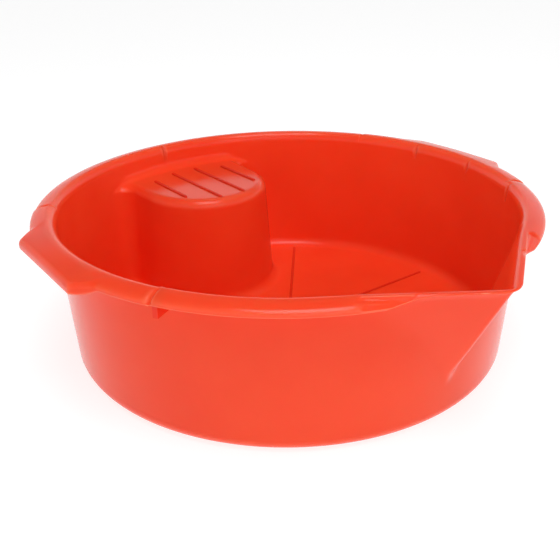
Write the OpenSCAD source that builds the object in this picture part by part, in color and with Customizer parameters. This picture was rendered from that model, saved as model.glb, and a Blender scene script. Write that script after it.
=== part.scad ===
// Oil drain pan: round bowl with a rolled rim, pour spout, two grab handles
// and a raised ledge that an oil filter stands on to drain.
// Origin: centre of the underside. +X points to the spout, +Z is up.

/* [Bowl] */
// Height of the rim's crest above the ground
height = 122; // [110:1:135]
// Wall's outer radius, carried down to the ground
foot_r = 177; // [172:0.5:180]
// Wall's outer radius, carried up to the crest
brim_r = 184.5; // [182:0.5:186]
// Thickness of walls, rim and ledge
wall_t = 2.5; // [2:0.1:3]
// Thickness of the floor
floor_t = 3; // [2.5:0.1:4]
// Outside radius of the corner under the wall
foot_round = 9; // [7:0.5:11]
// Inside radius of the corner over the floor
floor_round = 8; // [6:0.5:10]

/* [Rim] */
// Radius of the crest between the lugs
crest_r = 187; // [186:0.5:188]
// Radius of the crest beside the handles
grip_crest_r = 188.5; // [188:0.5:190]
// Outer radius of the rim's skirt
rim_r = 200; // [197:0.5:203]
// How far the skirt hangs below the crest
skirt_drop = 7; // [6:0.5:9]
// How far below the crest the wall starts to roll
roll_drop = 9; // [8:0.5:10]
// Where the wide crest beside the left handle starts and ends
left_grip = [-121, -62.5];
// Where the wide crest beside the right handle starts and ends
right_grip = [60, 119];

/* [Handles] */
// Direction of the left handle
left_handle = -92; // [-95:0.5:-85]
// Direction of the right handle
right_handle = 89.5; // [85:0.5:95]
// Distance from the pan's axis to the handle's straight edge
handle_reach = 205.5; // [203:0.5:208]
// Half length of a handle between its slanting ends
handle_half = 47; // [40:1:50]
// Cut across each corner of a handle
handle_corner = 5; // [3:0.5:8]
// Half angle where the handle leaves the rim
handle_angle = 17.5; // [17:0.5:20]
// How far the handle's skirt hangs below the crest
handle_drop = 11; // [9:0.5:13]
// How far the handle's top falls from crest to edge
handle_slope = 3; // [2:0.5:4]

/* [Spout] */
// Angle between the pouring axis and each cheek's normal
cheek_angle = 35; // [30:1:40]
// Lean of the cheeks from the vertical
cheek_lean = 23; // [20:1:26]
// Width of the lip outside the cheeks
lip_w = 4; // [3:0.5:6]
// Thickness of the lip
lip_t = 2.2; // [2:0.1:3]
// Rounding of the lip's tip
lip_round = 18; // [12:1:24]
// Half angle of the wall under the spout
front_half = 28; // [26:1:40]
// Length of rim, past the cheek's tangent, that the lip has already left
lip_end = 16; // [10:1:30]

/* [Filter ledge] */
// Depth of the ledge below the crest
ledge_drop = 22.5; // [18:0.5:30]
// Distance from the pan's axis to the centre of the ledge's round front
ledge_x = 128; // [120:1:135]
// Radius of the round front at the top
ledge_r = 57.5; // [50:0.5:60]
// Draft of the ledge's sides
ledge_draft = 3.5; // [2:0.5:5]
// Angle at which the ledge's sides spread towards the wall
ledge_flare = 3; // [2:0.5:6]
// Where the wall behind the ledge starts and ends
back_wall = [150, 210];

/* [Ribs and lugs] */
// Angles of the stacking lugs
lug_angles = [-61.4, 57.5, 183];
// Thickness of a stacking lug at the rim, in degrees of arc
lug_arc = 1.1; // [0.8:0.1:1.5]
// How far the lugs reach below the crest
lug_drop = 15; // [12:0.5:18]
// How far a lug's end stays inside the skirt's face
lug_inset = 0.5; // [0:0.1:1]
// Half angle between the two webs under a handle
web_half = 10; // [8:0.5:12]
// Thickness of a web, in degrees of arc
web_arc = 0.7; // [0.5:0.1:1]
// How far down the wall a web reaches below the crest
web_drop = 20; // [16:1:24]
// Gap between a web's end and the handle's straight edge
web_gap = 4; // [3:0.5:6]
// Spacing of the ribs on the ledge
rib_pitch = 24.5; // [20:0.5:26]
// Width of the ribs at their foot
rib_w = 2.4; // [2:0.1:4]
// Height of the ribs
rib_h = 1.2; // [0.8:0.1:2]
// Where the two middle ribs on the ledge start and end
middle_ribs = [-164, -79];
// Where the two outer ribs on the ledge start and end
outer_ribs = [-154, -98];
// Angles of the ribs on the floor
floor_rib_angles = [-140, -90, -40, 40, 90, 140];
// Distance from the pan's axis to the start of a floor rib
floor_rib_start = 24; // [15:1:40]

/* [Hidden] */
$fn = 180;
fine = 0.01;
clear_r = 260;
slope = (brim_r - foot_r) / height;
draft = atan(slope);
roll_z = height - roll_drop;
skirt_z = height - skirt_drop;
ledge_z = height - ledge_drop;
foot_centre = foot_r - foot_round * (1 - sin(draft)) / cos(draft);
floor_centre_z = floor_t + floor_round;
floor_centre = wall_in(floor_centre_z) - floor_round / cos(draft);
corner_top = foot_round + 3;
floor_edge = floor_centre - 2;
web_z = height - web_drop;
lug_z = height - lug_drop;
spout_root = brim_r * cos(cheek_angle) + 1;
orange = "#e8401f";
orange_light = "#f04c2a";
orange_deep = "#d8351a";

// Outer and inner radius of the wall at height z
function wall_out(z) = foot_r + slope * z;
function wall_in(z) = wall_out(z) - wall_t;

// Points of an arc about [x, z], from angle a to angle b in n steps
function arc(x, z, r, a, b, n) =
    [for (i = [0:n]) [x + r * cos(a + (b - a) * i / n), z + r * sin(a + (b - a) * i / n)]];

// Upper face of the rolled rim: -90 is where the wall starts to roll, 0 the
// crest and 90 the skirt's lower edge
function roll_top(c, a) = a < 0
    ? [c + (c - wall_in(roll_z)) * sin(a), height - roll_drop * (1 - cos(a))]
    : [c + (rim_r - c) * sin(a), height - skirt_drop * (1 - cos(a))];

// Lower face of the rolled rim, one wall thickness inside
function roll_under(c, a) = a < 0
    ? [c + (c - wall_out(roll_z)) * sin(a),
       height - wall_t - (roll_drop - wall_t) * (1 - cos(a))]
    : [c + (rim_r - wall_t - c) * sin(a),
       height - wall_t - (skirt_drop - wall_t) * (1 - cos(a))];

module rim_profile(c, last) {
    polygon(concat([for (a = [-90:15:last]) roll_top(c, a)],
                   [for (a = [last:-15:-90]) roll_under(c, a)]));
}

// Sector of a solid of revolution, from angle a to angle b
module sector(a, b) {
    rotate([0, 0, a])
        rotate_extrude(angle = b - a)
            children();
}

// Solid cone of the wall's outer face between two heights
module wall_cone(z0, z1) {
    translate([0, 0, z0])
        cylinder(h = z1 - z0, r1 = wall_out(z0), r2 = wall_out(z1));
}

// Space between the two leaning cheek planes; inset moves them inwards
module spout_wedge(inset) {
    intersection() {
        translate([spout_root, -clear_r, 0])
            cube([clear_r, 2 * clear_r, height + 1]);
        behind_cheek(cheek_angle, inset);
        behind_cheek(-cheek_angle, inset);
    }
}

module behind_cheek(angle, inset) {
    rotate([0, 0, angle])
        translate([brim_r, 0, height])
            rotate([0, cheek_lean, 0])
                translate([-2 * clear_r - inset, -clear_r, -clear_r])
                    cube(2 * clear_r);
}

// Outside of the filter ledge; inset moves its faces inwards
module ledge_block(inset) {
    top = ledge_z - inset;
    spread = (top + 1) * tan(ledge_draft);
    r = ledge_r - inset;
    translate([-ledge_x, 0, -1])
        cylinder(h = top + 1, r1 = r + spread, r2 = r);
    intersection() {
        translate([-clear_r, -clear_r, -1])
            cube([clear_r - ledge_x + r * sin(ledge_flare), 2 * clear_r, top + 1]);
        ledge_side(r, top);
        mirror([0, 1, 0])
            ledge_side(r, top);
    }
}

// Everything on the inner side of the ledge's left face
module ledge_side(r, top) {
    translate([-ledge_x, r, top])
        rotate([0, 0, -ledge_flare])
            rotate([ledge_draft, 0, 0])
                translate([-clear_r, -2 * clear_r, -clear_r])
                    cube(2 * clear_r);
}

module floor_panel() {
    color(orange_light)
        difference() {
            cylinder(h = floor_t, r = floor_edge);
            ledge_block(0);
        }
}

module rib_bar(from, to, w, h) {
    translate([from, 0, 0])
        rotate([90, 0, 90])
            linear_extrude(to - from)
                polygon([[-w / 2, 0], [w / 2, 0], [w / 4, h], [-w / 4, h]]);
}

module floor_ribs() {
    color(orange_deep)
        for (a = floor_rib_angles)
            rotate([0, 0, a])
                translate([0, 0, floor_t])
                    rib_bar(floor_rib_start, floor_edge - rib_w, rib_w, rib_h);
}

module foot_corner() {
    color(orange)
        difference() {
            rotate_extrude()
                polygon(concat(
                    [[floor_edge, 0]],
                    arc(foot_centre, foot_round, foot_round, -90, -draft, 7),
                    [[wall_out(corner_top), corner_top], [wall_in(corner_top), corner_top]],
                    arc(floor_centre, floor_centre_z, floor_round, -draft, -90, 7),
                    [[floor_edge, floor_t]]));
            ledge_block(0);
        }
}

module wall_ring(z0, z1, a, b) {
    sector(a, b)
        polygon([[wall_in(z0), z0], [wall_out(z0), z0],
                 [wall_out(z1), z1], [wall_in(z1), z1]]);
}

module side_wall_left() {
    color(orange)
        wall_ring(corner_top, roll_z, back_wall[1] - 360, -front_half);
}

module side_wall_right() {
    color(orange)
        wall_ring(corner_top, roll_z, front_half, back_wall[0]);
}

// The wall under the spout, open where the cheeks leave it
module front_wall() {
    color(orange)
        difference() {
            wall_ring(corner_top, roll_z, -front_half, front_half);
            spout_wedge(wall_t);
        }
}

module ledge_back_wall() {
    color(orange)
        difference() {
            wall_ring(corner_top, roll_z, back_wall[0], back_wall[1]);
            ledge_block(0);
        }
}

module rim_front(a, b) {
    color(orange_light)
        difference() {
            sector(a, b)
                rim_profile(crest_r, 90);
            spout_wedge(0);
        }
}

module rim_front_left() {
    rim_front(left_grip[1], 0);
}

module rim_front_right() {
    rim_front(0, right_grip[0]);
}

// The crest widens beside a handle, and the handle takes over its outer half
module rim_grip(span, middle) {
    color(orange_light)
        difference() {
            sector(span[0], span[1])
                rim_profile(grip_crest_r, 90);
            sector(middle - handle_angle, middle + handle_angle)
                polygon([[grip_crest_r, roll_z], [clear_r, roll_z],
                         [clear_r, height + 1], [grip_crest_r, height + 1]]);
        }
}

module rim_grip_left() {
    rim_grip(left_grip, left_handle);
}

module rim_grip_right() {
    rim_grip(right_grip, right_handle);
}

module rim_rear() {
    color(orange_light)
        sector(right_grip[1], 360 + left_grip[0])
            rim_profile(crest_r, 90);
}

// Half of the plan of a handle that points along +X, from the rim to the middle
function handle_edge(inset) = [
    [rim_r * cos(handle_angle) - inset, rim_r * sin(handle_angle) - inset / 2],
    [handle_reach - inset - handle_corner / 2, handle_half + handle_corner / 2 - inset / 2],
    [handle_reach - inset, handle_half - handle_corner - inset / 2]];

module handle_plan(inset) {
    edge = handle_edge(inset);
    polygon(concat([[0, 0]], [for (p = edge) [p[0], -p[1]]],
                   [for (i = [2, 1, 0]) edge[i]]));
}

// Height of a handle's gently falling top at radius r; inset moves it down
function handle_top(r, inset) =
    height - inset - handle_slope * (r - grip_crest_r) / (handle_reach - grip_crest_r);

// Handle's block; inset moves its top and its sides inwards
module handle_block(inset) {
    low = height - handle_drop;
    intersection() {
        linear_extrude(height + 1)
            handle_plan(inset);
        sector(-handle_angle, handle_angle)
            polygon([[grip_crest_r, low], [clear_r, low],
                     [clear_r, handle_top(clear_r, inset)], [grip_crest_r, height - inset]]);
    }
}

module handle(middle) {
    color(orange)
        rotate([0, 0, middle])
            difference() {
                handle_block(0);
                translate([0, 0, -fine])
                    handle_block(wall_t);
            }
}

module handle_left() {
    handle(left_handle);
}

module handle_right() {
    handle(right_handle);
}

// Thin upright webs from the wall to just inside the handle's skirt
module handle_webs() {
    far = handle_reach - web_gap;
    color(orange_deep)
        for (middle = [left_handle, right_handle], side = [-1, 1])
            rotate([0, 0, middle + side * web_half])
                sector(-web_arc / 2, web_arc / 2)
                    polygon(concat(
                        [[wall_out(web_z), web_z], [wall_out(roll_z), roll_z]],
                        [for (a = [-75:15:0]) roll_under(grip_crest_r, a)],
                        [[far, handle_top(far, wall_t)], [far, height - handle_drop]]));
}

// Upright plates that keep stacked pans from jamming
module stacking_lugs() {
    far = rim_r - lug_inset;
    color(orange_deep)
        for (middle = lug_angles)
            rotate([0, 0, middle])
                sector(-lug_arc / 2, lug_arc / 2)
                    polygon(concat(
                        [[wall_out(lug_z), lug_z], [wall_out(roll_z), roll_z]],
                        [for (a = [-75:15:90]) roll_under(crest_r, a)],
                        [[far, skirt_z], [far, lug_z]]));
}

// Inside of the rolled rim, above the wall
module mouth() {
    rotate_extrude()
        polygon(concat([[0, roll_z]],
                       [for (a = [-90:15:0]) roll_top(crest_r, a)],
                       [[0, height]]));
}

module pour_spout() {
    color(orange)
        difference() {
            intersection() {
                spout_wedge(0);
                cylinder(h = height - lip_t, r = clear_r);
            }
            wall_cone(0, roll_z);
            mouth();
            spout_wedge(wall_t);
        }
}

module spout_lip() {
    reach = brim_r + lip_w;
    tip = (reach - lip_round) / cos(cheek_angle);
    far = [reach * cos(cheek_angle) + lip_end * sin(cheek_angle),
           reach * sin(cheek_angle) - lip_end * cos(cheek_angle)];
    color(orange_light)
        difference() {
            translate([0, 0, height - lip_t])
                linear_extrude(lip_t)
                    polygon(concat([[far[0], -far[1]]],
                                   arc(tip, 0, lip_round, -cheek_angle, cheek_angle, 10),
                                   [far]));
            spout_wedge(wall_t);
            rim_body();
        }
}

// Everything under the rim's upper face and inside its crest, outside the spout
module rim_body() {
    difference() {
        rotate_extrude()
            polygon(concat([[0, height - wall_t]],
                           [for (a = [90:-15:0]) roll_top(crest_r, a)],
                           [[0, height]]));
        spout_wedge(0);
    }
}

module filter_ledge_wall() {
    color(orange)
        difference() {
            intersection() {
                ledge_block(0);
                ledge_space(ledge_z - wall_t);
            }
            ledge_block(wall_t);
        }
}

module filter_ledge_top() {
    color(orange_light)
        intersection() {
            ledge_block(0);
            difference() {
                wall_cone(0, ledge_z);
                translate([0, 0, -1])
                    cylinder(h = ledge_z - wall_t + 1, r = clear_r);
            }
        }
}

// Room for the ledge's wall: inside the bowl's outer face, from the ground to top
module ledge_space(top) {
    rotate_extrude()
        polygon(concat([[0, 0]],
                       arc(foot_centre, foot_round, foot_round, -90, -draft, 7),
                       [[wall_out(top), top], [0, top]]));
}

function rib_ends(k) = abs(k) > 1 ? outer_ribs : middle_ribs;

module ledge_drain_ribs() {
    color(orange_deep)
        for (k = [-1.5, -0.5, 0.5, 1.5])
            translate([0, k * rib_pitch, ledge_z])
                rib_bar(rib_ends(k)[0], rib_ends(k)[1], rib_w, rib_h);
}

floor_panel();
floor_ribs();
foot_corner();
side_wall_left();
side_wall_right();
front_wall();
ledge_back_wall();
rim_front_left();
rim_front_right();
rim_grip_left();
rim_grip_right();
rim_rear();
handle_left();
handle_right();
handle_webs();
stacking_lugs();
pour_spout();
spout_lip();
filter_ledge_wall();
filter_ledge_top();
ledge_drain_ribs();
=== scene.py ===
"""Oil drain pan: one smooth moulded shell with ribs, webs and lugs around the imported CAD."""
import math
from types import SimpleNamespace

import bpy
import numpy as np
from mathutils import Matrix, Vector


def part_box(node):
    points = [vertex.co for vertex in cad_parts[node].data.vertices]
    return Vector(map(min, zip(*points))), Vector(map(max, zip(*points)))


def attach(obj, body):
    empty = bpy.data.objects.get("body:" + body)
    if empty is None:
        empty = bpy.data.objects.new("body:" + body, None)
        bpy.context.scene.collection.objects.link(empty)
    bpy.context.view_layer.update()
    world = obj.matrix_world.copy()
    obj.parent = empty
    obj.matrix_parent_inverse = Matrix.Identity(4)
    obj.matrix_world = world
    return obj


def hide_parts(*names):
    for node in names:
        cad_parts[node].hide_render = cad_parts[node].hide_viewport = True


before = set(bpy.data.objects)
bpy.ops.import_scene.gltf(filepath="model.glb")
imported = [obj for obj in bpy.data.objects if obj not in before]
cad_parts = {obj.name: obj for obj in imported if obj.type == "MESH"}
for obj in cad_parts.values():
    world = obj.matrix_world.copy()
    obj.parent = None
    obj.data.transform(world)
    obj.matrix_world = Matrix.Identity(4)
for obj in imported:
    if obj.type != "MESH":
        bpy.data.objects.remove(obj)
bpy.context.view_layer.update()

MM = 0.001

# Sizes of the design are in millimetres, and angles in degrees unless math.radians turns them
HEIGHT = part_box("rim_rear")[1].z / MM
LEDGE_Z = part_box("filter_ledge_top")[1].z / MM
FOOT_R = 177.0
WALL_TOP_R, WALL_TOP_Z = 184.5, 122.0
WALL_SLOPE = (WALL_TOP_R - FOOT_R) / WALL_TOP_Z
WALL_T = 2.5
FLOOR_T = 3.0

# The rim: its crest, its outer edge and the hanging skirt, and the two grips that stand a little proud
CREST_R = 187.0
RIM_R = 200.0
SKIRT_DROP = 7.0
ROLL_Z = HEIGHT - 9.0
GRIP_ENDS = (-121.0, -62.5, 60.0, 119.0)
GRIP_STEP, GRIP_PROUD = 1.5, 1.2
GRIP_BLEND = 0.12
GROOVE_WIDTH, GROOVE_IN, GROOVE_DOWN = 0.34, 1.4, 1.1

# Line outwards from the crest: its share of the rim's width and its fall; then the turn and the skirt's face
LINE_SHARE, LINE_FALL = 0.19, 0.13
CREST_TURN_LEAST = 0.5
SHOULDER_FALL = 1.24
SKIRT_FACE = SKIRT_DROP - 1.6
SKIRT_FACE_LEAST = 0.55

# Handles: the angles of their middles, their edge's reach and drop, half the angle they cover, their slope,
# and how their edge turns at the ends and meets the rim
LEFT_HANDLE, RIGHT_HANDLE = -92.0, 89.5
HANDLE_REACH, HANDLE_DROP = 205.5, 11.0
HANDLE_ANGLE, HANDLE_FALL = 17.5, 3.0 / 17.0
HANDLE_BLEND_IN, HANDLE_BLEND_OUT = 3.0, 1.0
HANDLE_END_TURN, HANDLE_END_R = 46.7, 174.6
HANDLE_CORNER, HANDLE_MEETS_RIM = 1.4, 1.2
HANDLE_NARROWER, HANDLE_SIDE = 0.3, 30.0
HANDLE_EDGE_ROUND, HANDLE_SKIRT = 3.6, 4.0

# Spout: two leaning cheek planes either side of the keel, and the thin lip along their top
CHEEK = math.radians(35.0)
LEAN = math.radians(23.0)
CHEEK_R = 184.5
SPOUT_SIDE = 30.0
KEEL_TOP, KEEL_FOOT, KEEL_INSIDE = 2.6, 6.0, 4.8
KEEL_TOP_Z, KEEL_FOOT_Z = 75.0, 20.0
SPOUT_CREST_OUT, SPOUT_CREST_ROUND, SPOUT_MEETS_CREST = 0.5, 5.0, 2.0
LIP_R, LIP_ROUND, LIP_MEETS_RIM = 188.2, 14.0, 1.5
LIP_T = 1.3
LIP_EDGE_T, LIP_FOOT_T = 0.9, 0.9
LIP_ENDS = (11.0, 15.0)
LIP_THIN_TO, LIP_THIN_OVER, LIP_THIN_POWER = 12.0, 8.5, 0.8
LIP_LINE_IN = 1.0
LIP_STRIP_IN, LIP_STRIP_OUT = 3.2, 1.2

# Beside the spout the lip's flange lies on the rim's roll: where that starts and stops, its small step, and
# how far its top and its end stay from the lip's edge, the crest and the rim's outside
SHELF_STARTS, SHELF_ENDS = (14.6, 16.0), (24.0, 26.0)
SHELF_STEP = 0.5
SHELF_CORNER_IN, SHELF_CORNER_DOWN = 0.15, 0.2
SHELF_TOP_GAPS, SHELF_END_GAPS = (0.45, 0.3, 0.4), (0.0, 0.5, 0.2)

# Filter ledge and its drain ribs
LEDGE_X, LEDGE_R = 128.0, 57.5
LEDGE_DRAFT, LEDGE_FLARE = math.radians(3.5), math.radians(3.0)
RIB_PITCH = 24.5
MIDDLE_RIB, OUTER_RIB = (-164.0, -79.0), (-154.0, -98.0)
DRAIN_RIB_W, DRAIN_RIB_H = 3.0, 1.5

# Floor ribs
FLOOR_RIB_ANGLES = (-140, -90, -40, 40, 90, 140)
FLOOR_RIB_IN, FLOOR_RIB_OUT = 24.0, 164.0
FLOOR_RIB_W, FLOOR_RIB_H = 2.2, 1.1

# Ends of a rib: how far in from its end, and the share of its full height that it has there
RIB_END = ((0.0, 0.05), (0.25, 0.7), (0.8, 0.95), (1.6, 1.0))
RIB_END_WIDTH = 0.35
RIB_SIDES, RIB_CROWN = 8, 0.8
RIB_SINK = 0.3

# Faint upright marks inside the wall, where a web or lug stands behind it: angle and heights
SINK_MARKS = ((57.5, 107.0, 118.5), (79.5, 110.0, 118.0), (99.5, 110.0, 118.0), (-61.4, 104.0, 117.0),
              (183.0, 102.0, 121.5))
SINK_DEPTH, SINK_WIDTH, SINK_FADE = 1.0, 0.4, 1.5

# Roundings of the moulding, in millimetres
FLOOR_ROUND = 8.0
FOOT_ROUND = 9.5
LEDGE_TOP_ROUND = 7.0
LEDGE_SIDE_ROUND = 18.0
LEDGE_BACK_ROUND = 7.0
CREASE_ROUND = 3.0


# ---------------------------------------------------------------- smooth shape of the moulding

def smax(a, b, k):
    """Maximum of a and b, smoothed where they differ by less than k."""
    h = np.maximum(k - np.abs(a - b), 0)
    return np.maximum(a, b) + h * h / (4 * k)


def smin(a, b, k):
    """Minimum of a and b, smoothed where they differ by less than k."""
    return -smax(-a, -b, k)


def mixed(a, b, t):
    """The value a share t of the way from a to b."""
    return a + (b - a) * t


def round_max(a, b, r):
    """Maximum of a and b with a circular fillet of radius r where they meet."""
    return np.minimum(-r, np.maximum(a, b)) + np.hypot(np.maximum(r + a, 0), np.maximum(r + b, 0))


def smoothstep(a, b, x):
    """Rises smoothly from 0 at a to 1 at b."""
    t = np.clip((x - a) / (b - a), 0, 1)
    return t * t * (3 - 2 * t)


def wall_r(z, inset):
    """Distance of the round wall from the axis at height z, moved inwards by inset."""
    return FOOT_R + WALL_SLOPE * z - inset


def wedge(x, y, z, d, k):
    """Distance outside the two leaning cheek planes, whose distance from the axis is d at the crest."""
    reach = d - (HEIGHT - z) * math.tan(LEAN)
    a = x * math.cos(CHEEK) + y * math.sin(CHEEK) - reach
    b = x * math.cos(CHEEK) - y * math.sin(CHEEK) - reach
    return smax(a, b, k) * math.cos(LEAN)


def ledge(x, y, z, inset, top_round):
    """Distance outside the filter ledge's block, with its faces moved inwards by inset."""
    top = LEDGE_Z - inset
    r = LEDGE_R - inset + (top - z) * math.tan(LEDGE_DRAFT)
    qx, qy = x + LEDGE_X, np.abs(y)
    along = -qx * math.cos(LEDGE_FLARE) + qy * math.sin(LEDGE_FLARE)
    flat = qx * math.sin(LEDGE_FLARE) + qy * math.cos(LEDGE_FLARE)
    side = np.where(along > 0, flat, np.hypot(qx, qy)) - r
    return round_max(side * math.cos(LEDGE_DRAFT), z - top, top_round)


def side_round(z, extra):
    """Fillet between the ledge and the wall, enlarged by extra: wide beside the ledge, narrow behind it."""
    behind = smoothstep(LEDGE_Z - 6, LEDGE_Z + 1, z)
    return extra + LEDGE_SIDE_ROUND + (LEDGE_BACK_ROUND - LEDGE_SIDE_ROUND) * behind


def keel_round(z, outer):
    """Rounding of the spout's keel, which grows towards the foot on the outside."""
    if not outer:
        return KEEL_INSIDE
    return KEEL_TOP + (KEEL_FOOT - KEEL_TOP) * (1 - smoothstep(KEEL_FOOT_Z, KEEL_TOP_Z, z))


def skin_insets(outer):
    """How far the outer or inner skin lies inside the pan's wall, and inside the ledge's block."""
    return (0.0, WALL_T) if outer else (WALL_T, 0.0)


def bottom(outer):
    """Height of the outer or inner skin's flat bottom, and the rounding at its edge."""
    return (0.0, FOOT_ROUND) if outer else (FLOOR_T, FLOOR_ROUND)


def shape(p, outer, floor=True):
    """Signed distance of points p from the moulding's inner or outer skin, negative on the bowl's side."""
    x, y, z = p[:, 0], p[:, 1], p[:, 2]
    wall_inset, ledge_inset = skin_insets(outer)
    ground, foot_round = bottom(outer)
    cone = np.hypot(x, y) - wall_r(z, wall_inset)
    spout = wedge(x, y, z, CHEEK_R - wall_inset, keel_round(z, outer))
    in_spout = (x > 0) & (np.abs(y) < x * math.tan(CHEEK))
    bowl = np.where(in_spout, smin(cone, spout, CREASE_ROUND), cone)
    block = ledge(x, y, z, ledge_inset, LEDGE_TOP_ROUND - ledge_inset)
    both = round_max(bowl, -block, side_round(z, ledge_inset))
    if not floor:
        return both
    return round_max(both, ground - z, foot_round)


def gradient(p, f):
    """Slope of f at points p, by central differences."""
    h = 1e-3
    return np.stack([(f(p + h * e) - f(p - h * e)) / (2 * h) for e in np.eye(3)], 1)


LONGEST_STEP = 8.0


def settle(p, f, along=None, level=False, rounds=5):
    """Moves points onto the surface f = 0: along given directions, or along the gradient."""
    p = p.copy()
    for _ in range(rounds):
        g = gradient(p, f)
        if level:
            g[:, 2] = 0
        step = g if along is None else along
        slope = np.sum(g * step, 1)
        slope = np.where(np.abs(slope) < 1e-6, 1e-6, slope)
        p -= step * np.clip(f(p) / slope, -LONGEST_STEP, LONGEST_STEP)[:, None]
    return p


# ---------------------------------------------------------------- columns round the bowl

def spaced(a, b, step):
    """Even steps of about the given size from a up to, but not including, b."""
    n = max(1, round((b - a) / step))
    return [a + (b - a) * i / n for i in range(n)]


# Spacing of the wall's columns: from each angle on, the step to the next column
COLUMN_STEPS = ((-150, 0.9), (-122, 0.45), (-119.5, 0.45), (-110.5, 0.35), (-101, 0.9), (-83, 0.35),
                (-73.5, 0.45), (-59, 0.9), (-27, 0.4), (-9, 0.3), (-4, 0.2), (-1, 0.1), (1, 0.2),
                (4, 0.3), (9, 0.4), (27, 0.9), (56, 0.45), (71, 0.35), (80.5, 0.9), (98.5, 0.35),
                (108, 0.45), (120.5, 0.9), (150, 0.9))
GROOVE_COLUMNS = (-0.45, -0.25, -0.1, 0.0, 0.1, 0.25, 0.45)
SINK_COLUMNS = (-0.5, -0.3, -0.12, 0.0, 0.12, 0.3, 0.5)


def with_cluster(angles, middle, offsets, clear):
    """The angles with those nearer than clear to the middle replaced by a cluster round it."""
    return [a for a in angles if abs(a - middle) > clear] + [middle + d for d in offsets]


def wall_angles():
    """Angles of the wall's columns, closer together at the spout, the handles' ends and the crest's steps."""
    out = []
    for (a, step), (b, _) in zip(COLUMN_STEPS[:-1], COLUMN_STEPS[1:]):
        out += spaced(a, b, step)
    for middle in GRIP_ENDS:
        out = with_cluster(out, middle, GROOVE_COLUMNS, 0.5)
    for middle, _, _ in SINK_MARKS[:-1]:
        out = with_cluster(out, middle, SINK_COLUMNS, 0.6)
    return np.array(sorted(out))


# Columns behind the wall's: a lead up to the ledge, then the ledge's straight side and its round front
WALL = wall_angles()
BACK_FROM = 150.0
LEAD = np.linspace(0, 1, 13)[:-1]
SIDE = np.linspace(0, 1, 20)[:-1] ** 1.15
FRONT = np.linspace(1, -1, 76)


def ledge_frame(z, inset_wall, inset_ledge):
    """Corner of the ledge's straight side and the wall, the side's tangent point, and the front's radius."""
    top = LEDGE_Z - inset_ledge
    r = LEDGE_R - inset_ledge + (top - min(z, top)) * math.tan(LEDGE_DRAFT)
    tangent = np.array([-LEDGE_X + r * math.sin(LEDGE_FLARE), r * math.cos(LEDGE_FLARE)])
    along = np.array([-math.cos(LEDGE_FLARE), math.sin(LEDGE_FLARE)])
    ahead = tangent @ along
    reach = -ahead + math.sqrt(ahead * ahead - tangent @ tangent + wall_r(z, inset_wall) ** 2)
    return tangent + reach * along, tangent, r


def angle_of(point):
    """Angle of a point from +X."""
    return math.degrees(math.atan2(point[1], point[0]))


def on_circle(r, degrees):
    """Points of a circle round the axis."""
    a = np.radians(degrees)
    return np.stack([r * np.cos(a), r * np.sin(a)], 1)


def plan(z, outer):
    """Sharp outline of the skin at height z, one point for each column."""
    wall_inset, ledge_inset = skin_insets(outer)
    around = wall_r(z, wall_inset)
    corner, tangent, r = ledge_frame(z, wall_inset, ledge_inset)
    wall = on_circle(around, WALL)
    lead = on_circle(around, mixed(BACK_FROM, angle_of(corner), LEAD))
    side = mixed(corner, tangent, SIDE[:, None])
    phi = FRONT * (math.pi / 2 - LEDGE_FLARE)
    front = np.stack([-LEDGE_X + r * np.cos(phi), r * np.sin(phi)], 1)
    flip = np.array([1, -1])
    return np.concatenate([wall, lead, side, front, side[::-1] * flip, lead[:0:-1] * flip])


def top_angles():
    """Angle of each column where it reaches the wall above the ledge."""
    corner, tangent, r = ledge_frame(LEDGE_Z, WALL_T, 0.0)
    corner_angle = angle_of(corner)
    side_length = np.linalg.norm(tangent - corner)
    front_length = r * (math.pi / 2 - LEDGE_FLARE)
    share = np.concatenate([SIDE * side_length, side_length + (1 - FRONT) * front_length])
    share /= side_length + front_length
    half = mixed(corner_angle, 180, share)
    lead = mixed(BACK_FROM, corner_angle, LEAD)
    return np.concatenate([WALL, lead, half, 360 - half[:len(SIDE)][::-1], 360 - lead[:0:-1]])


TOP_DEG = top_angles()
RADIAL = np.column_stack([on_circle(1.0, TOP_DEG), np.zeros(len(TOP_DEG))])
IS_WALL = np.arange(len(TOP_DEG)) < len(WALL)


def at(xy, z):
    """Points of a plan at height z."""
    return np.column_stack([xy, np.broadcast_to(np.asarray(z, float), (len(xy),))])


# Rows of one skin, from the bottom up: their angles, counts or heights, how near a turn of the ledge they
# draw together, and how wide the ledge's top has to be before they do
CORNER_ROWS = np.radians(np.linspace(12, 84, 7))
CORNER_MARGIN = 1.6
WALL_ROWS = 24
BEND_BELOW = 9.5
CROSSED_Z = 107.0
UPPER_Z = (109.0, 111.0, ROLL_Z)
CLIMB_ROWS, ACROSS_ROWS, ABOVE_ROWS = 10, 9, 8
CORNER_REACH = 9.0
PLAIN_WIDTH = 15.0


def on_skin(p, outer, floor=True):
    """Settles points on a skin: the wall's stay in their radial plane, the ledge's follow the gradient."""
    def skin(q):
        return shape(q, outer, floor)

    out = settle(p, skin)
    out[IS_WALL] = settle(p[IS_WALL], skin, along=RADIAL[IS_WALL])
    return out


def corner_rows(outer):
    """Rows from the flat bottom round the rounding at its edge."""
    def skin(q):
        return shape(q, outer)

    def sides(q):
        return shape(q, outer, False)

    ground, r = bottom(outer)
    base = settle(at(plan(ground + r, outer), ground + r), sides, level=True)
    outward = gradient(base, sides)
    outward[:, 2] = 0
    outward /= np.linalg.norm(outward, axis=1)[:, None]
    rows = []
    for inward in (r + CORNER_MARGIN, r):
        rows.append(at((base - outward * inward)[:, :2], ground))
    for phi in CORNER_ROWS:
        p = base - outward * r * (1 - math.sin(phi))
        p[:, 2] = ground + r * (1 - math.cos(phi))
        rows.append(settle(p, skin))
    return rows


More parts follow.
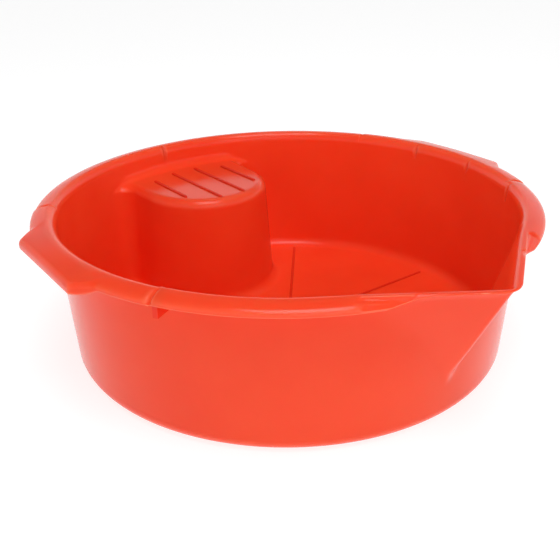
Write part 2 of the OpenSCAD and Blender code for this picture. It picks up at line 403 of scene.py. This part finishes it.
def lower_rows(outer):
    """Rows of one skin from the flat bottom up to where the rim starts to roll."""
    ground, r = bottom(outer)
    rows = corner_rows(outer)
    top = LEDGE_Z - skin_insets(outer)[1]
    bend = top - BEND_BELOW
    for z in np.linspace(ground + r + 1, bend, WALL_ROWS):
        rows.append(on_skin(at(plan(z, outer), z), outer))
    rows += ledge_rows(outer, bend, top)
    for z in UPPER_Z:
        rows.append(radial_row(z, outer))
    return rows if outer else [sunk(p) for p in rows]


def sunk(p):
    """Presses the sink marks into points of the wall's inner face."""
    x, y, z = p[:, 0], p[:, 1], p[:, 2]
    deg = np.degrees(np.arctan2(y, x))
    depth = np.zeros(len(p))
    for angle, low, high in SINK_MARKS:
        off = (deg - angle + 180) % 360 - 180
        fade_in = smoothstep(low - SINK_FADE, low + SINK_FADE, z)
        fade_out = 1 - smoothstep(high - SINK_FADE, high + SINK_FADE, z)
        depth += SINK_DEPTH * np.exp(-(off / SINK_WIDTH) ** 2) * (fade_in * fade_out)
    # the ledge's top lies nearer the axis than the wall and has no marks
    r = np.hypot(x, y)
    depth = np.where(r > FOOT_R - 2, depth, 0)
    scale = 1 + depth / np.maximum(r, 1)
    return np.column_stack([x * scale, y * scale, z])


def round_row(z, outer):
    """The plain round wall's points at height z."""
    row = RADIAL * wall_r(z, skin_insets(outer)[0])
    row[:, 2] = z
    return row


def radial_row(z, outer):
    """A skin's row above the ledge, each point in its column's radial plane."""
    return settle(round_row(z, outer), lambda q: shape(q, outer, False), along=RADIAL, rounds=8)


def zoned_lengths(climb, across, above):
    """Lengths along a path that turns twice, with the rows close together near both turns."""
    near = np.minimum(CORNER_REACH, across / 2)
    rows = [(climb + near) * i / CLIMB_ROWS for i in range(CLIMB_ROWS + 1)]
    rows += [climb + near + (across - 2 * near) * i / ACROSS_ROWS for i in range(1, ACROSS_ROWS + 1)]
    rows += [climb + across - near + (near + above) * i / ABOVE_ROWS for i in range(1, ABOVE_ROWS + 1)]
    return rows


def ledge_rows(outer, bend, top):
    """Rows that cross the ledge's top, and climb the wall elsewhere."""
    low, edge = at(plan(bend, outer), bend), at(plan(top, outer), top)
    back, high = round_row(top, outer), round_row(CROSSED_Z, outer)
    edge[IS_WALL] = back[IS_WALL]
    across = np.linalg.norm(back - edge, axis=1)
    climb, above = top - bend, CROSSED_Z - top
    total = climb + across + above
    zoned = zoned_lengths(climb, across, above)
    on_ledge = across / (across + PLAIN_WIDTH)
    count = len(zoned) - 1
    rows = []
    for i in range(1, count + 1):
        done = (1 - on_ledge) * total * i / count + on_ledge * zoned[i]
        a = np.clip(done / climb, 0, 1)[:, None]
        b = np.clip((done - climb) / np.maximum(across, 1e-9), 0, 1)[:, None]
        c = np.clip((done - climb - across) / above, 0, 1)[:, None]
        p = low + (edge - low) * a + (back - edge) * b + (high - back) * c
        rows.append(on_skin(p, outer, False))
    return rows


# ---------------------------------------------------------------- rim, handles and spout lip

# Steps of the rim's quarter turns and of the line between them, and its first rows, which take sink marks
TURN_STEPS = 8
LINE_STEPS = 3
SUNK_RIM_ROWS = 6

# Points down the skirt's face as shares of its height, and across its foot as shares of its thickness with
# their lifts
FACE_SHARES = (0.6, 0.3)
FOOT_POINTS = ((0.15, 0.1), (0.45, 0.0), (0.85, 0.1))


def wedge_r(theta, d, k):
    """Distance from the axis, along theta, of the rounded cheek outline that is d from the axis."""
    a = math.cos(CHEEK) * np.cos(theta)
    b = 2 * math.sin(CHEEK) * np.sin(theta)
    sharp = d / np.maximum(np.cos(np.abs(theta) - CHEEK), 0.05)
    b2 = np.maximum(b * b, 1e-12)
    soft = (-a + np.sqrt(a * a + b2 * (d - k / 4) / k)) / (b2 / (2 * k))
    r = np.where(np.abs(sharp * b) < k, soft, sharp)
    return np.where(np.abs(theta) < CHEEK, r, 0)


def wrapped(deg):
    """Angles brought to between -180 and 180."""
    return (np.asarray(deg) + 180) % 360 - 180


def straight(r, off):
    """Distance from the axis of a straight line's points, at angles off its nearest point, r away."""
    return r / np.cos(np.radians(np.clip(off, -75, 75)))


def handle_edge(off):
    """Distance of a handle's edge from the axis, at angles off its middle: straight, with slanting ends."""
    side = straight(HANDLE_REACH, off)
    end = straight(HANDLE_END_R, off - HANDLE_END_TURN)
    return np.where(off < HANDLE_SIDE, smin(side, end, HANDLE_CORNER), 0)


def rim_weights():
    """Each column's angles, and a share from 0 to 1 of each feature of the rim that it is in."""
    deg = wrapped(TOP_DEG)
    side = np.abs(deg)
    steps = [smoothstep(e - GRIP_BLEND, e + GRIP_BLEND, deg) for e in GRIP_ENDS]
    grip = (steps[0] - steps[1]) + (steps[2] - steps[3])
    off_handle = np.minimum(np.abs(deg - LEFT_HANDLE), np.abs(deg - RIGHT_HANDLE))
    return SimpleNamespace(
        theta=np.radians(deg), side=side, off_handle=off_handle, grip=grip,
        groove=sum(np.exp(-((deg - e) / GROOVE_WIDTH) ** 2) for e in GRIP_ENDS),
        handle=1 - smoothstep(HANDLE_ANGLE - HANDLE_BLEND_IN, HANDLE_ANGLE + HANDLE_BLEND_OUT, off_handle),
        lip=1 - smoothstep(*LIP_ENDS, side),
        thin=1 - np.clip((side - LIP_THIN_TO) / LIP_THIN_OVER, 0, 1),
        shelf=(1 - smoothstep(*SHELF_ENDS, side)) * smoothstep(*SHELF_STARTS, side))


def rim_section(w):
    """Where each column's section has its crest, line's end, shoulder, skirt face and foot."""
    spout = wedge_r(w.theta, CHEEK_R + SPOUT_CREST_OUT, SPOUT_CREST_ROUND)
    crest = smax(CREST_R + GRIP_STEP * w.grip, spout, SPOUT_MEETS_CREST)
    lip_r = wedge_r(w.theta, LIP_R, LIP_ROUND)
    edge = smax(RIM_R + GRIP_PROUD * w.grip, handle_edge(w.off_handle), HANDLE_MEETS_RIM)
    edge = np.where(w.off_handle < HANDLE_SIDE, np.maximum(edge - HANDLE_NARROWER, RIM_R), edge)
    edge = smax(edge, lip_r, LIP_MEETS_RIM)

    handle_r = edge - HANDLE_EDGE_ROUND
    handle_z = HEIGHT - HANDLE_FALL * (handle_r - crest)
    handle_edge_z = HEIGHT - HANDLE_FALL * (edge - crest)
    line_r = mixed(crest + LINE_SHARE * (edge - crest), handle_r, w.handle)
    line_z = mixed(HEIGHT - LINE_FALL, handle_z, w.handle)
    shoulder_z = mixed(HEIGHT - SHOULDER_FALL, handle_edge_z, w.handle)
    face_z = mixed(HEIGHT - SKIRT_FACE, handle_edge_z - HANDLE_SKIRT, w.handle)
    foot_z = mixed(HEIGHT - SKIRT_DROP, HEIGHT - HANDLE_DROP, w.handle)

    foot_z = mixed(foot_z, HEIGHT - LIP_T, w.thin ** LIP_THIN_POWER)
    face_z = np.maximum(mixed(face_z, HEIGHT - LIP_EDGE_T, w.lip), foot_z + SKIRT_FACE_LEAST)
    return SimpleNamespace(
        crest=crest, edge=edge, lip_r=lip_r, face_z=face_z, foot_z=foot_z,
        line_r=mixed(line_r, edge - LIP_LINE_IN, w.lip),
        line_z=mixed(line_z, HEIGHT, w.lip),
        shoulder_z=mixed(shoulder_z, HEIGHT, w.lip),
        foot_t=mixed(WALL_T, LIP_FOOT_T, w.thin))


def crest_turn(w, s, r_in, r_out):
    """The quarter turn from the inner wall up to the crest, and the matching one under the rim."""
    lean = np.where(w.side < SPOUT_SIDE, wedge_r(w.theta, CHEEK_R - WALL_T, KEEL_INSIDE), 0)
    wall = np.maximum(r_in, np.minimum(lean, s.crest - CREST_TURN_LEAST))
    start = r_in + s.crest - wall
    over, under = [], []
    for phi in np.radians(np.linspace(0, 90, TURN_STEPS + 1)):
        r = start + (s.crest - start) * math.sin(phi) + (r_in - start) * math.cos(phi)
        z = ROLL_Z + (HEIGHT - ROLL_Z) * math.sin(phi)
        over.append((r, z))
        under.append((r + (r_out - r_in) * math.cos(phi), z - WALL_T * math.sin(phi)))
    return over[1:], under


def shelf_reach(s, gaps):
    """Distance of the flange's top or end from the axis, at least the given gaps inside its bounds."""
    from_lip, from_crest, from_outside = gaps
    return np.clip(s.lip_r - from_lip, s.crest + from_crest, RIM_R - from_outside)


def crest_line(w, s):
    """The nearly level line outwards from the crest, and the matching one under the rim."""
    end_r = mixed(s.line_r, shelf_reach(s, SHELF_TOP_GAPS), w.shelf)
    end_z = mixed(s.line_z, HEIGHT, w.shelf)
    over, under = [], []
    for step in range(1, LINE_STEPS + 1):
        u = step / LINE_STEPS
        over.append((mixed(s.crest, end_r, u), mixed(HEIGHT, end_z, u) - GROOVE_DOWN * w.groove * u))
        under.append((mixed(s.crest, s.line_r, u), mixed(HEIGHT, s.line_z, u) - WALL_T))
    return over, under


def shelf_point(s, step):
    """A point beside the spout, where the lip's flange ends in a small step on the rim's plain roll."""
    end = shelf_reach(s, SHELF_END_GAPS)
    if step == 0:
        return end - SHELF_CORNER_IN, HEIGHT - SHELF_CORNER_DOWN
    if step == 1:
        return end, HEIGHT - SHELF_STEP
    start = np.arcsin(np.clip((end - CREST_R) / (RIM_R - CREST_R), 0, 1))
    turn = mixed(start, math.pi / 2, (step - 2) / (TURN_STEPS - 3))
    z = HEIGHT - SHELF_STEP - (SKIRT_DROP - SHELF_STEP) * (1 - np.cos(turn))
    return CREST_R + (RIM_R - CREST_R) * np.sin(turn), np.maximum(z, s.face_z)


def outer_turn(w, s):
    """The quarter turn from the line's end down to the skirt's face, and the matching one under the rim."""
    start_z = s.face_z + s.line_z - s.shoulder_z
    over, under = [], []
    for step, phi in enumerate(np.radians(np.linspace(90 / TURN_STEPS, 90, TURN_STEPS))):
        r = mixed(s.line_r, s.edge, math.sin(phi))
        z = start_z + (s.face_z - start_z) * math.sin(phi) + (s.line_z - start_z) * math.cos(phi)
        under.append((r - WALL_T * math.sin(phi), z - WALL_T * math.cos(phi)))
        shelf_r, shelf_z = shelf_point(s, step)
        r, z = mixed(r, shelf_r, w.shelf), mixed(z, shelf_z, w.shelf)
        over.append((r - GROOVE_IN * w.groove, z - GROOVE_DOWN * w.groove))
    return over, under


def skirt(s):
    """The skirt's upright face and the rounding of its lower edge."""
    face = [(s.edge, mixed(s.foot_z, s.face_z, share)) for share in FACE_SHARES]
    foot = [(s.edge - share * s.foot_t, s.foot_z + lift) for share, lift in FOOT_POINTS]
    return face + foot


def back_to_wall(w, s, under, r_out):
    """Rows back to the wall: the rim's hollow, or under the lip a flat strip and a fillet to the cheek."""
    cheek = np.where(w.lip > 0, wedge_r(w.theta, CHEEK_R - LIP_T * math.tan(LEAN), KEEL_TOP), s.crest)
    turn = np.minimum(cheek + LIP_STRIP_IN, s.edge - LIP_STRIP_OUT)
    centre = turn + r_out - cheek
    strip_z = HEIGHT - LIP_T
    strip_steps = LINE_STEPS + TURN_STEPS
    rows = []
    for step, (r, z) in enumerate(reversed(under)):
        if step < strip_steps:
            lip_r = s.edge - s.foot_t + (turn - s.edge + s.foot_t) * (step + 1) / (strip_steps + 1)
            lip_z = strip_z
        else:
            phi = math.radians(90 * (step - strip_steps) / TURN_STEPS)
            lip_r = centre + (turn - centre) * math.cos(phi) + (r_out - centre) * math.sin(phi)
            lip_z = ROLL_Z + (strip_z - ROLL_Z) * math.cos(phi)
        rows.append((mixed(r, lip_r, w.lip), mixed(z, lip_z, w.lip)))
    return rows[:-1]


def rim_rows(inner_at, outer_at):
    """Rows over the rim from the inner skin to the outer one, each in its column's radial plane."""
    r_in, r_out = (np.hypot(p[:, 0], p[:, 1]) for p in (inner_at, outer_at))
    weights = rim_weights()
    section = rim_section(weights)
    over, under = [], []
    for above, below in (crest_turn(weights, section, r_in, r_out), crest_line(weights, section),
                         outer_turn(weights, section)):
        over += above
        under += below
    rows = over + skirt(section) + back_to_wall(weights, section, under, r_out)
    points = [at(RADIAL[:, :2] * r[:, None], z) for r, z in rows]
    return [sunk(p) for p in points[:SUNK_RIM_ROWS]] + points[SUNK_RIM_ROWS:]


def build_shell():
    """The whole moulding as one closed skin: rows of points joined into quads, and two flat bottoms."""
    inner = lower_rows(False)
    outer = lower_rows(True)
    rim = rim_rows(inner[-1], outer[-1])
    rows = inner + rim + outer[::-1]
    n = len(TOP_DEG)
    last = (len(rows) - 1) * n
    faces = []
    for start in range(0, last, n):
        for i in range(n):
            k = (i + 1) % n
            faces.append((start + i, start + n + i, start + n + k, start + k))
    faces.append(tuple(range(n)))
    faces.append(tuple(range(last, last + n))[::-1])
    mesh = bpy.data.meshes.new("pan_shell")
    mesh.from_pydata((np.concatenate(rows) * MM).tolist(), [], faces)
    mesh.validate()
    mesh.update()
    return mesh


def piece(name, mesh, material):
    """A smooth-shaded object of the mesh, in the scene."""
    obj = bpy.data.objects.new(name, mesh)
    bpy.context.scene.collection.objects.link(obj)
    mesh.polygons.foreach_set("use_smooth", [True] * len(mesh.polygons))
    mesh.materials.append(material)
    return obj


# ---------------------------------------------------------------- ribs

def polar(r, angle, z):
    """A point at a distance and an angle from the axis."""
    return (r * math.cos(math.radians(angle)), r * math.sin(math.radians(angle)), z)


def rib_verts(a, b, width, height):
    """Sections of one low round-topped bar from a to b, smaller towards its ends."""
    along = (b - a).normalized()
    side = Vector((-along.y, along.x, 0))
    length = (b - a).length
    sections = list(RIB_END) + [(length - d, size) for d, size in RIB_END[::-1]]
    verts = []
    for d, size in sections:
        for i in range(RIB_SIDES + 1):
            t = math.pi * i / RIB_SIDES
            sink = RIB_SINK if i in (0, RIB_SIDES) else 0
            rise = max(math.sin(t), 0) ** RIB_CROWN * height * size - sink
            half = width / 2 * mixed(RIB_END_WIDTH, 1, size)
            p = a + along * d + side * (math.cos(t) * half)
            verts.append((p.x * MM, p.y * MM, (p.z + rise) * MM))
    return verts


def rib_mesh(name, lines, width, height):
    """Low round-topped bars along the given lines, with blunt rounded ends."""
    n, m = RIB_SIDES + 1, 2 * len(RIB_END)
    verts, faces = [], []
    for start, end in lines:
        first = len(verts)
        verts += rib_verts(Vector(start), Vector(end), width, height)
        for i in range(m - 1):
            q = first + i * n
            for j in range(n - 1):
                faces.append((q + j, q + j + 1, q + j + n + 1, q + j + n))
            faces.append((q, q + n, q + 2 * n - 1, q + n - 1))
        faces.append(tuple(range(first, first + n))[::-1])
        faces.append(tuple(range(first + (m - 1) * n, first + m * n)))
    mesh = bpy.data.meshes.new(name)
    mesh.from_pydata(verts, [], faces)
    mesh.update()
    return mesh


# ---------------------------------------------------------------- materials

# Noises of the plastic, in cycles per metre, the tones and roughness that they and wear make, the pale edge
# tone that is also a painted highlight, and the glow
CLOUD_SCALE, GLOSS_SCALE, RIPPLE_SCALE, GRAIN_SCALE = 9.0, 30.0, 120.0, 1400.0
NOISE_LOW, NOISE_HIGH = 0.3, 0.7
DARKER, PALER = (0.93, 0.86, 0.82), (1.03, 1.14, 1.2)
WEAR_AND_HIGHLIGHT_FROM, WEAR_AND_HIGHLIGHT_TO = 0.508, 0.57
ROUGH_LOW, ROUGH_HIGH, ROUGH_WORN = 0.13, 0.19, 0.12
RIPPLE_HEIGHT = 2.0
BUMP_STRENGTH, BUMP_HEIGHT = 0.25, 0.00004
GLOW_COLOUR, GLOW_DISTANCE = (1.0, 0.22, 0.08), 0.006


def plastic(name, tone, glow, wear_and_highlight):
    """Moulded polypropylene: soft gloss, faint clouds, fine grain, rubbed edges with a painted highlight, and
    a glow from inside.
    """
    mat = bpy.data.materials.new(name)
    mat.use_nodes = True
    nodes, links = mat.node_tree.nodes, mat.node_tree.links
    shader = nodes["Principled BSDF"]
    place = nodes.new("ShaderNodeTexCoord").outputs["Object"]

    def noise(scale, detail):
        node = nodes.new("ShaderNodeTexNoise")
        node.inputs["Scale"].default_value = scale
        node.inputs["Detail"].default_value = detail
        links.new(place, node.inputs["Vector"])
        return node.outputs["Fac"]

    def ramp(value, low, high, a, b):
        node = nodes.new("ShaderNodeMapRange")
        node.inputs["From Min"].default_value = low
        node.inputs["From Max"].default_value = high
        node.inputs["To Min"].default_value = a
        node.inputs["To Max"].default_value = b
        links.new(value, node.inputs["Value"])
        return node.outputs["Result"]

    def mix(factor, a, b):
        node = nodes.new("ShaderNodeMix")
        node.data_type = "RGBA"
        links.new(factor, node.inputs["Factor"])
        for socket, value in ((node.inputs["A"], a), (node.inputs["B"], b)):
            if isinstance(value, tuple):
                socket.default_value = value
            else:
                links.new(value, socket)
        return node.outputs["Result"]

    def add(a, b):
        node = nodes.new("ShaderNodeMath")
        node.operation = "ADD"
        links.new(a, node.inputs[0])
        links.new(b, node.inputs[1])
        return node.outputs[0]

    deep = tuple(t * k for t, k in zip(tone, DARKER)) + (1,)
    pale = tuple(min(1, t * k) for t, k in zip(tone, PALER)) + (1,)
    # Sharp convex edges turn pale by pointiness: partly rubbed wear, partly a painted highlight that
    # brightens the keel and the other edges
    rubbed_and_highlight = (1.0, tone[1] * 2.5 + 0.08, tone[2] * 3.0 + 0.08, 1)
    clouds = ramp(noise(CLOUD_SCALE, 3.0), NOISE_LOW, NOISE_HIGH, 0.0, 1.0)
    worn_and_highlight = ramp(nodes.new("ShaderNodeNewGeometry").outputs["Pointiness"], WEAR_AND_HIGHLIGHT_FROM, WEAR_AND_HIGHLIGHT_TO, 0.0, wear_and_highlight)
    colour = mix(worn_and_highlight, mix(clouds, deep, pale), rubbed_and_highlight)
    links.new(colour, shader.inputs["Base Color"])

    gloss = ramp(noise(GLOSS_SCALE, 4.0), NOISE_LOW, NOISE_HIGH, ROUGH_LOW, ROUGH_HIGH)
    rough = add(gloss, ramp(worn_and_highlight, 0.0, 1.0, 0.0, ROUGH_WORN))
    links.new(rough, shader.inputs["Roughness"])

    bump = nodes.new("ShaderNodeBump")
    bump.inputs["Strength"].default_value = BUMP_STRENGTH
    bump.inputs["Distance"].default_value = BUMP_HEIGHT
    grain = add(noise(GRAIN_SCALE, 2.0), ramp(noise(RIPPLE_SCALE, 2.0), 0.0, 1.0, 0.0, RIPPLE_HEIGHT))
    links.new(grain, bump.inputs["Height"])
    links.new(bump.outputs["Normal"], shader.inputs["Normal"])

    shader.inputs["IOR"].default_value = 1.49
    shader.inputs["Specular IOR Level"].default_value = 0.22
    shader.inputs["Subsurface Weight"].default_value = glow
    shader.inputs["Subsurface Radius"].default_value = GLOW_COLOUR
    shader.inputs["Subsurface Scale"].default_value = GLOW_DISTANCE
    return mat


shell_plastic = plastic("shell_plastic", tone=(0.90, 0.064, 0.017), glow=0.7, wear_and_highlight=0.8)
# The ribs' plastic is the shell's plastic painted a darker red: painted shade that makes the ribs, webs and
# lugs read as dark lines
shaded_rib_plastic = plastic("shaded_rib_plastic", tone=(0.82, 0.030, 0.008), glow=0.5, wear_and_highlight=0.04)


# ---------------------------------------------------------------- pieces

shell = piece("moulded_shell", build_shell(), shell_plastic)
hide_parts("floor_panel", "foot_corner", "side_wall_left", "side_wall_right", "front_wall",
            "ledge_back_wall", "rim_front_left", "rim_front_right", "rim_grip_left",
            "rim_grip_right", "rim_rear", "handle_left", "handle_right", "pour_spout",
            "spout_lip", "filter_ledge_wall", "filter_ledge_top")
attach(shell, "root")

drain_lines = [((start, k * RIB_PITCH, LEDGE_Z), (end, k * RIB_PITCH, LEDGE_Z))
               for k, (start, end) in zip((-1.5, -0.5, 0.5, 1.5),
                                          (OUTER_RIB, MIDDLE_RIB, MIDDLE_RIB, OUTER_RIB))]
drain_ribs = piece("drain_ribs", rib_mesh("drain_ribs", drain_lines, DRAIN_RIB_W, DRAIN_RIB_H), shaded_rib_plastic)
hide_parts("ledge_drain_ribs")
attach(drain_ribs, "root")

spoke_lines = [(polar(FLOOR_RIB_IN, a, FLOOR_T), polar(FLOOR_RIB_OUT, a, FLOOR_T)) for a in FLOOR_RIB_ANGLES]
spokes = piece("floor_spokes", rib_mesh("floor_spokes", spoke_lines, FLOOR_RIB_W, FLOOR_RIB_H), shaded_rib_plastic)
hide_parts("floor_ribs")
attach(spokes, "root")

# Two nodes of the frame keep showing, in the ribs' darker plastic with its painted shade
for name in ("handle_webs", "stacking_lugs"):
    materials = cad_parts[name].data.materials
    materials.clear()
    materials.append(shaded_rib_plastic)


# ---------------------------------------------------------------- floor, lights and camera, in metres

STAGE_HALF, STAGE_Z = 6.0, -0.0004
STAGE_GREY, STAGE_LIGHT = 0.35, 0.80
TENT_FROM, TENT_TO, TENT_BRIGHT, TENT_DIM = 0.30, 0.52, 0.92, 0.20
CAMERA_AT = (0.47864, -0.36727, 0.33483)
CAMERA_FORWARD = (-0.720867, 0.540260, -0.434131)
CAMERA_ROLL = math.radians(-0.99)
CAMERA_LENS, CAMERA_SENSOR = 50.67, 36.0


def stage_floor():
    """A pale floor just below the pan's foot, bright enough of itself to render white."""
    mesh = bpy.data.meshes.new("stage_floor")
    s = STAGE_HALF
    mesh.from_pydata([(-s, -s, STAGE_Z), (s, -s, STAGE_Z), (s, s, STAGE_Z), (-s, s, STAGE_Z)],
                     [], [(0, 1, 2, 3)])
    mat = bpy.data.materials.new("stage_white")
    mat.use_nodes = True
    shader = mat.node_tree.nodes["Principled BSDF"]
    shader.inputs["Base Color"].default_value = (STAGE_GREY, STAGE_GREY, STAGE_GREY, 1)
    shader.inputs["Roughness"].default_value = 0.8
    shader.inputs["Emission Color"].default_value = (1, 1, 1, 1)
    shader.inputs["Emission Strength"].default_value = STAGE_LIGHT
    obj = bpy.data.objects.new("stage_floor", mesh)
    mesh.materials.append(mat)
    bpy.context.scene.collection.objects.link(obj)


def area_light(name, place, target, size, power):
    """A soft rectangular light aimed at the target."""
    data = bpy.data.lights.new(name, "AREA")
    data.shape = "RECTANGLE"
    data.size, data.size_y = size
    data.energy = power
    obj = bpy.data.objects.new(name, data)
    obj.location = place
    aim = Vector(target) - Vector(place)
    obj.rotation_mode = "QUATERNION"
    obj.rotation_quaternion = aim.to_track_quat("-Z", "Y")
    bpy.context.scene.collection.objects.link(obj)


def camera():
    """The photograph's view: azimuth 52.5 degrees, 29 degrees above the middle of the pan's foot."""
    data = bpy.data.cameras.new("view_camera")
    data.lens, data.sensor_width = CAMERA_LENS, CAMERA_SENSOR
    data.clip_start, data.clip_end = 0.01, 50
    cam = bpy.data.objects.new("view_camera", data)
    forward = Vector(CAMERA_FORWARD).normalized()
    level = forward.cross(Vector((0, 0, 1))).normalized()
    up = level.cross(forward)
    right = level * math.cos(CAMERA_ROLL) + up * math.sin(CAMERA_ROLL)
    top = right.cross(forward)
    turn = Matrix((right, top, -forward)).transposed()
    cam.matrix_world = Matrix.Translation(CAMERA_AT) @ turn.to_4x4()
    bpy.context.scene.collection.objects.link(cam)
    bpy.context.scene.camera = cam


def studio_world():
    """A light tent: bright round the horizon, dimmer overhead."""
    world = bpy.data.worlds.new("studio")
    world.use_nodes = True
    nodes, links = world.node_tree.nodes, world.node_tree.links
    place = nodes.new("ShaderNodeTexCoord")
    split = nodes.new("ShaderNodeSeparateXYZ")
    links.new(place.outputs["Generated"], split.inputs["Vector"])
    ramp = nodes.new("ShaderNodeMapRange")
    ramp.interpolation_type = "SMOOTHSTEP"
    ramp.inputs["From Min"].default_value = TENT_FROM
    ramp.inputs["From Max"].default_value = TENT_TO
    ramp.inputs["To Min"].default_value = TENT_BRIGHT
    ramp.inputs["To Max"].default_value = TENT_DIM
    links.new(split.outputs["Z"], ramp.inputs["Value"])
    links.new(ramp.outputs["Result"], nodes["Background"].inputs["Strength"])
    nodes["Background"].inputs["Color"].default_value = (1, 1, 1, 1)
    bpy.context.scene.world = world


stage_floor()
studio_world()
area_light("high_key", place=(0.50, -0.22, 1.75), target=(0, 0, 0.06), size=(0.9, 0.9), power=17)
area_light("front_key", place=(1.55, -0.42, 0.95), target=(-0.05, 0, 0.06), size=(1.2, 0.8), power=4)
camera()
bpy.context.scene.view_settings.view_transform = "Standard"
